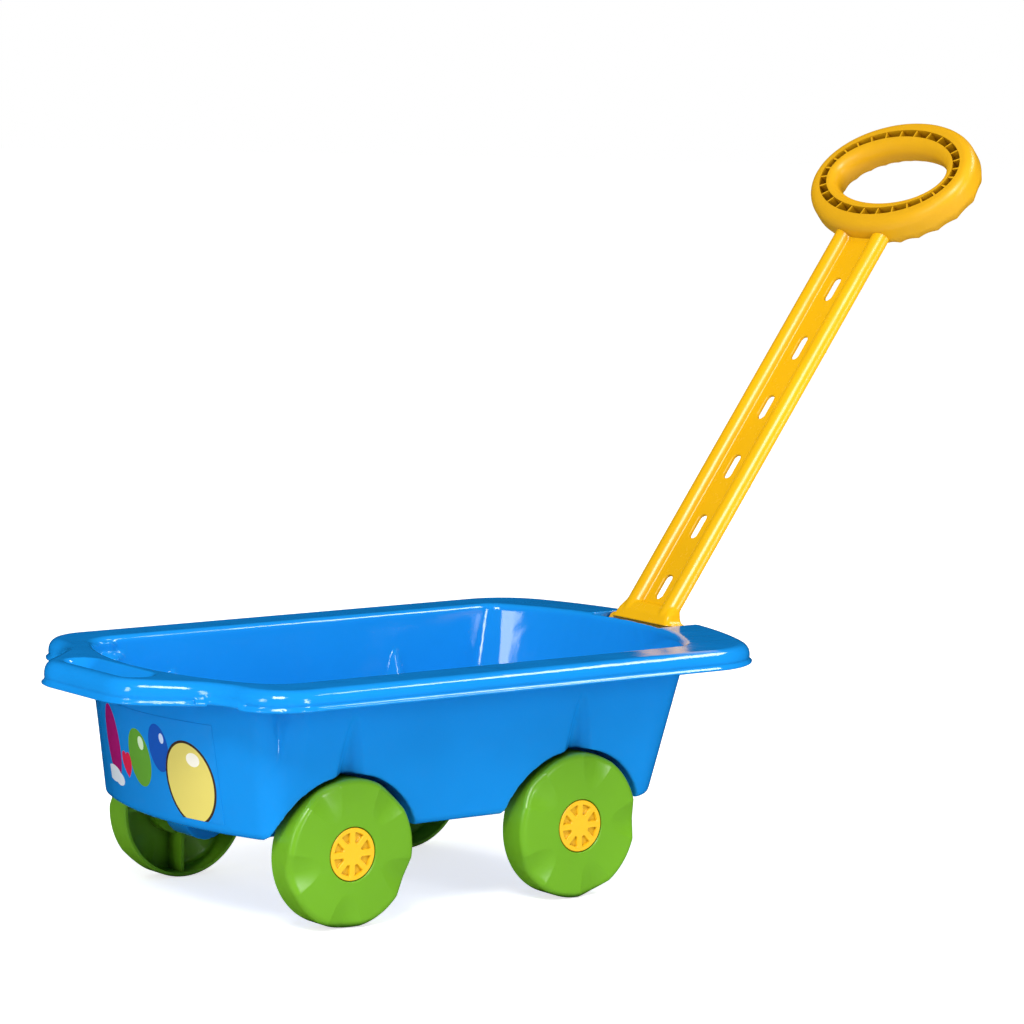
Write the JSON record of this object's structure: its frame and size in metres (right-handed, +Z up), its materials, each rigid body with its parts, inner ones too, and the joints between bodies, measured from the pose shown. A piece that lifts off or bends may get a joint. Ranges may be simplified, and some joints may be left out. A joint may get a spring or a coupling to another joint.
{
  "type": "toy wagon with pull handle",
  "caption": "Child's moulded pull wagon: open tub with a hand-hold rim on steel axles and hollow wheels, and a slotted pull handle with an oval ring grip that tilts at the front of the rim.",
  "frame": {"origin": "on the floor, under the middle of the wagon's whole length with its handle at rest, on its plane of symmetry", "axes": "+X forwards, the way the wagon is pulled, +Y to its left, +Z up"},
  "size_m": [0.6347, 0.252, 0.4421],
  "materials": {
    "blue_plastic": "glossy injection-moulded polypropylene, blue",
    "decal_film": "thin printed film with plain balloons, no lettering",
    "green_plastic": "satin injection-moulded polypropylene, leaf green",
    "amber_plastic": "satin injection-moulded plastic, amber",
    "yellow_plastic": "satin injection-moulded polypropylene, warm yellow",
    "steel": "bright drawn steel rod",
    "zinc_steel": "zinc-plated pressed steel"
  },
  "bodies": {
    "tub": {"tub": "blue_plastic", "rear_decal": "decal_film", "axle_front": "steel", "axle_rear": "steel", "handle_pivot_pin": "steel", "push_nut_front_left": "zinc_steel", "push_nut_front_right": "zinc_steel", "push_nut_rear_left": "zinc_steel", "push_nut_rear_right": "zinc_steel"},
    "handle": {"handle_bar": "yellow_plastic", "handle_grip_ring": "yellow_plastic"},
    "wheel_front_left": {"wheel_front_left": "green_plastic", "hub_cap_front_left": "amber_plastic"},
    "wheel_front_right": {"wheel_front_right": "green_plastic", "hub_cap_front_right": "amber_plastic"},
    "wheel_rear_left": {"wheel_rear_left": "green_plastic", "hub_cap_rear_left": "amber_plastic"},
    "wheel_rear_right": {"wheel_rear_right": "green_plastic", "hub_cap_rear_right": "amber_plastic"}
  },
  "joints": [
    {"name": "handle_tilt", "type": "hinge", "parent": "tub", "child": "handle", "pos_m": [0.0922, 0, 0.138], "axis": [0, 1, 0], "range_deg": [0, 60]},
    {"name": "wheel_front_left_spin", "type": "hinge", "parent": "tub", "child": "wheel_front_left", "pos_m": [-0.03115, 0.0848, 0.0425], "axis": [0, 1, 0], "continuous": true},
    {"name": "wheel_front_right_spin", "type": "hinge", "parent": "tub", "child": "wheel_front_right", "pos_m": [-0.03115, -0.0848, 0.0425], "axis": [0, 1, 0], "continuous": true},
    {"name": "wheel_rear_left_spin", "type": "hinge", "parent": "tub", "child": "wheel_rear_left", "pos_m": [-0.19245, 0.0848, 0.0425], "axis": [0, 1, 0], "continuous": true},
    {"name": "wheel_rear_right_spin", "type": "hinge", "parent": "tub", "child": "wheel_rear_right", "pos_m": [-0.19245, -0.0848, 0.0425], "axis": [0, 1, 0], "continuous": true}
  ]
}
